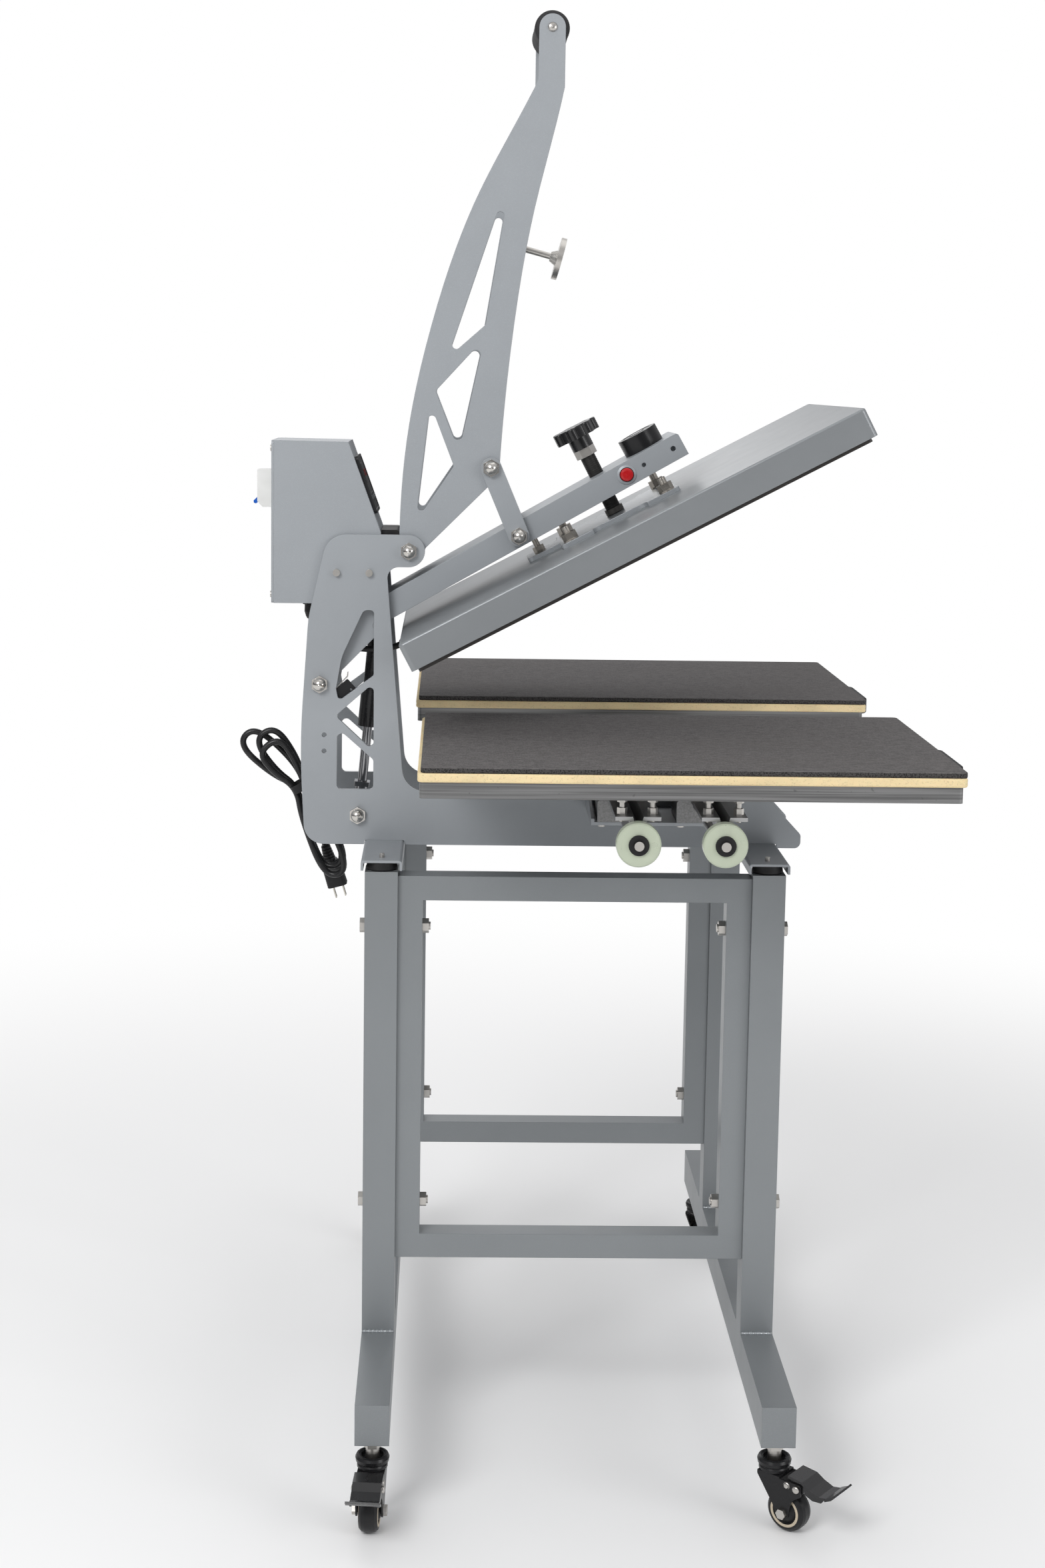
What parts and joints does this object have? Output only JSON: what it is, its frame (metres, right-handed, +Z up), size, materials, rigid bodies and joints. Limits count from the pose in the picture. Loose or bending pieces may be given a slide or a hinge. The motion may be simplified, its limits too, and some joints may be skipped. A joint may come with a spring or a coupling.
{
  "type": "dual station heat press",
  "caption": "Clamshell heat press on a wheeled stand, with a sliding carriage of two padded tables under one hinged heated platen.",
  "frame": {"origin": "middle of the stand on the floor", "axes": "+X towards the front of the press, +Y towards the far table, +Z up"},
  "size_m": [0.8684, 0.9925, 1.7724],
  "materials": {
    "stand_paint": "fine hammered",
    "press_paint": "satin powder coat",
    "box_paint": "satin powder coat",
    "zinc": "bright zinc",
    "chrome": "polished",
    "shaft_steel": "ground",
    "black_rubber": "matt",
    "black_plastic": "fine grain",
    "panel_black": "satin",
    "board_green": "solder mask",
    "breaker_white": "satin",
    "toggle_blue": "satin",
    "fork_black": "gloss",
    "tyre_black": "satin",
    "bearing_aluminium": "extruded",
    "table_aluminium": "mill finish",
    "gas_black": "gloss",
    "magnet_black": "gloss",
    "button_red": "gloss",
    "cover_paint": "satin",
    "heater_coating": "non-stick",
    "heater_steel": "heat tinted",
    "foam_cream": "sponge",
    "pad_grey": "fine fabric",
    "grip_black": "soft",
    "bumper_clear": "translucent"
  },
  "bodies": {
    "stand": {"leg_frames": "stand_paint", "side_frames": "stand_paint", "stand_fasteners": "zinc", "base_channels": "press_paint", "rubber_buffers": "black_rubber", "side_plate_near": "press_paint", "side_plate_far": "press_paint", "cross_shafts": "chrome", "control_box_shell": "box_paint", "control_box_back": "box_paint", "control_panel": "panel_black", "controller_board": "board_green", "circuit_breaker": "breaker_white", "cable_gland": "black_plastic", "micro_switch": "panel_black", "bearing_brackets": "press_paint", "bearing_blocks": "bearing_aluminium", "power_cord": "black_rubber", "cord_hank": "black_rubber", "cord_plug": "black_plastic"},
    "lift_arm": {"arm_beam": "press_paint", "electromagnet": "magnet_black", "button_housing": "black_plastic"},
    "push_button": {"push_button": "button_red"},
    "breaker_toggle": {"breaker_toggle": "toggle_blue"},
    "handle": {"handle_frame": "press_paint", "grip": "grip_black", "armature": "zinc"},
    "links": {"link_plates": "press_paint", "link_bolts": "chrome"},
    "gas_rod": {"gas_spring_rod": "shaft_steel"},
    "gas_cylinder": {"gas_spring_cylinder": "gas_black"},
    "pressure_foot": {"pressure_foot": "zinc"},
    "pressure_screw": {"pressure_screw": "zinc", "star_knob": "black_plastic"},
    "platen": {"platen_cover": "cover_paint", "heating_plate": "heater_coating", "heater_element": "heater_steel", "suspension_plate": "press_paint", "suspension_bolts": "zinc", "platen_lead": "black_rubber"},
    "shuttle": {"table_plates": "table_aluminium", "table_foams": "foam_cream", "table_pads": "pad_grey", "pull_handles": "black_plastic", "rails": "shaft_steel", "rail_bolts": "zinc", "bumper_discs": "bumper_clear"},
    "fork_near_left": {"caster_fork_near_left": "fork_black"},
    "wheel_near_left": {"caster_wheel_near_left": "tyre_black"},
    "pedal_near_left": {"caster_pedal_near_left": "fork_black"},
    "fork_near_right": {"caster_fork_near_right": "fork_black"},
    "wheel_near_right": {"caster_wheel_near_right": "tyre_black"},
    "pedal_near_right": {"caster_pedal_near_right": "fork_black"},
    "fork_far_left": {"caster_fork_far_left": "fork_black"},
    "wheel_far_left": {"caster_wheel_far_left": "tyre_black"},
    "pedal_far_left": {"caster_pedal_far_left": "fork_black"},
    "fork_far_right": {"caster_fork_far_right": "fork_black"},
    "wheel_far_right": {"caster_wheel_far_right": "tyre_black"},
    "pedal_far_right": {"caster_pedal_far_right": "fork_black"}
  },
  "joints": [
    {"name": "arm_lift", "type": "hinge", "parent": "stand", "child": "lift_arm", "pos_m": [-0.3174, -0.045, 0.9466], "axis": [0, 1, 0], "range_deg": [0, 29.2], "stiffness_Nm_per_rad": 60, "springref_deg": -85.94},
    {"name": "handle_swing", "type": "hinge", "parent": "stand", "child": "handle", "pos_m": [-0.2075, -0.045, 1.114], "axis": [0, 1, 0], "range_deg": [0, 74.7]},
    {"name": "link_swing", "type": "hinge", "parent": "handle", "child": "links", "pos_m": [-0.1067, -0.045, 1.2181], "axis": [0, 1, 0], "range_deg": [-103.8, 0]},
    {"name": "gas_spring_swing", "type": "hinge", "parent": "stand", "child": "gas_rod", "pos_m": [-0.269, -0.045, 0.781], "axis": [0, 1, 0], "range_deg": [0, 8.8]},
    {"name": "gas_spring_slide", "type": "slide", "parent": "gas_rod", "child": "gas_cylinder", "axis": [0.0932, 0, 0.9957], "range_m": [-0.039, 0]},
    {"name": "foot_slide", "type": "slide", "parent": "lift_arm", "child": "pressure_foot", "axis": [-0.4664, 0, 0.8846], "range_m": [-0.004, 0.004]},
    {"name": "pressure_turn", "type": "hinge", "parent": "pressure_foot", "child": "pressure_screw", "pos_m": [0.0543, -0.045, 1.15908], "axis": [-0.4664, 0, 0.8846], "range_deg": [-738, 738]},
    {"name": "platen_level", "type": "hinge", "parent": "pressure_foot", "child": "platen", "pos_m": [0.0543, -0.045, 1.15908], "axis": [0, 1, 0], "range_deg": [-1.45, 0]},
    {"name": "shuttle_slide", "type": "slide", "parent": "stand", "child": "shuttle", "axis": [0, 1, 0], "range_m": [-0.324, 0.226]},
    {"name": "button_press", "type": "slide", "parent": "lift_arm", "child": "push_button", "axis": [0, 1, 0], "range_m": [0, 0.003], "stiffness_N_per_m": 300},
    {"name": "breaker_flip", "type": "hinge", "parent": "stand", "child": "breaker_toggle", "pos_m": [-0.388, -0.045, 1.182], "axis": [0, 1, 0], "range_deg": [0, 80]},
    {"name": "swivel_near_left", "type": "hinge", "parent": "stand", "child": "fork_near_left", "pos_m": [-0.235, -0.402, 0.08], "axis": [0, 0, 1], "continuous": true},
    {"name": "wheel_spin_near_left", "type": "hinge", "parent": "fork_near_left", "child": "wheel_near_left", "pos_m": [-0.23692, -0.42392, 0.025], "axis": [-0.9962, 0.0872, 0], "continuous": true},
    {"name": "brake_near_left", "type": "hinge", "parent": "fork_near_left", "child": "pedal_near_left", "pos_m": [-0.23849, -0.44185, 0.06], "axis": [-0.9962, 0.0872, 0], "range_deg": [-18, 0]},
    {"name": "swivel_near_right", "type": "hinge", "parent": "stand", "child": "fork_near_right", "pos_m": [0.235, -0.402, 0.08], "axis": [0, 0, 1], "continuous": true},
    {"name": "wheel_spin_near_right", "type": "hinge", "parent": "fork_near_right", "child": "wheel_near_right", "pos_m": [0.25185, -0.41614, 0.025], "axis": [-0.6428, -0.766, 0], "continuous": true},
    {"name": "brake_near_right", "type": "hinge", "parent": "fork_near_right", "child": "pedal_near_right", "pos_m": [0.26564, -0.42771, 0.06], "axis": [-0.6428, -0.766, 0], "range_deg": [-18, 0]},
    {"name": "swivel_far_left", "type": "hinge", "parent": "stand", "child": "fork_far_left", "pos_m": [-0.235, 0.402, 0.08], "axis": [0, 0, 1], "continuous": true},
    {"name": "wheel_spin_far_left", "type": "hinge", "parent": "fork_far_left", "child": "wheel_far_left", "pos_m": [-0.23882, 0.42367, 0.025], "axis": [0.9848, 0.1736, 0], "continuous": true},
    {"name": "brake_far_left", "type": "hinge", "parent": "fork_far_left", "child": "pedal_far_left", "pos_m": [-0.24195, 0.44139, 0.06], "axis": [0.9848, 0.1736, 0], "range_deg": [-18, 0]},
    {"name": "swivel_far_right", "type": "hinge", "parent": "stand", "child": "fork_far_right", "pos_m": [0.235, 0.402, 0.08], "axis": [0, 0, 1], "continuous": true},
    {"name": "wheel_spin_far_right", "type": "hinge", "parent": "fork_far_right", "child": "wheel_far_right", "pos_m": [0.246, 0.42105, 0.025], "axis": [0.866, -0.5, 0], "continuous": true},
    {"name": "brake_far_right", "type": "hinge", "parent": "fork_far_right", "child": "pedal_far_right", "pos_m": [0.255, 0.43664, 0.06], "axis": [0.866, -0.5, 0], "range_deg": [-18, 0]}
  ],
  "couplings": [
    {"joint": "handle_swing", "follows": "arm_lift", "ratio": 2.5548},
    {"joint": "link_swing", "follows": "arm_lift", "ratio": -3.5507},
    {"joint": "gas_spring_swing", "follows": "arm_lift", "ratio": 0.29788},
    {"joint": "gas_spring_slide", "follows": "arm_lift", "m_per_rad": -0.075992},
    {"joint": "platen_level", "follows": "arm_lift", "ratio": -0.0479},
    {"joint": "pressure_turn", "follows": "foot_slide", "rad_per_m": 3141.6}
  ]
}
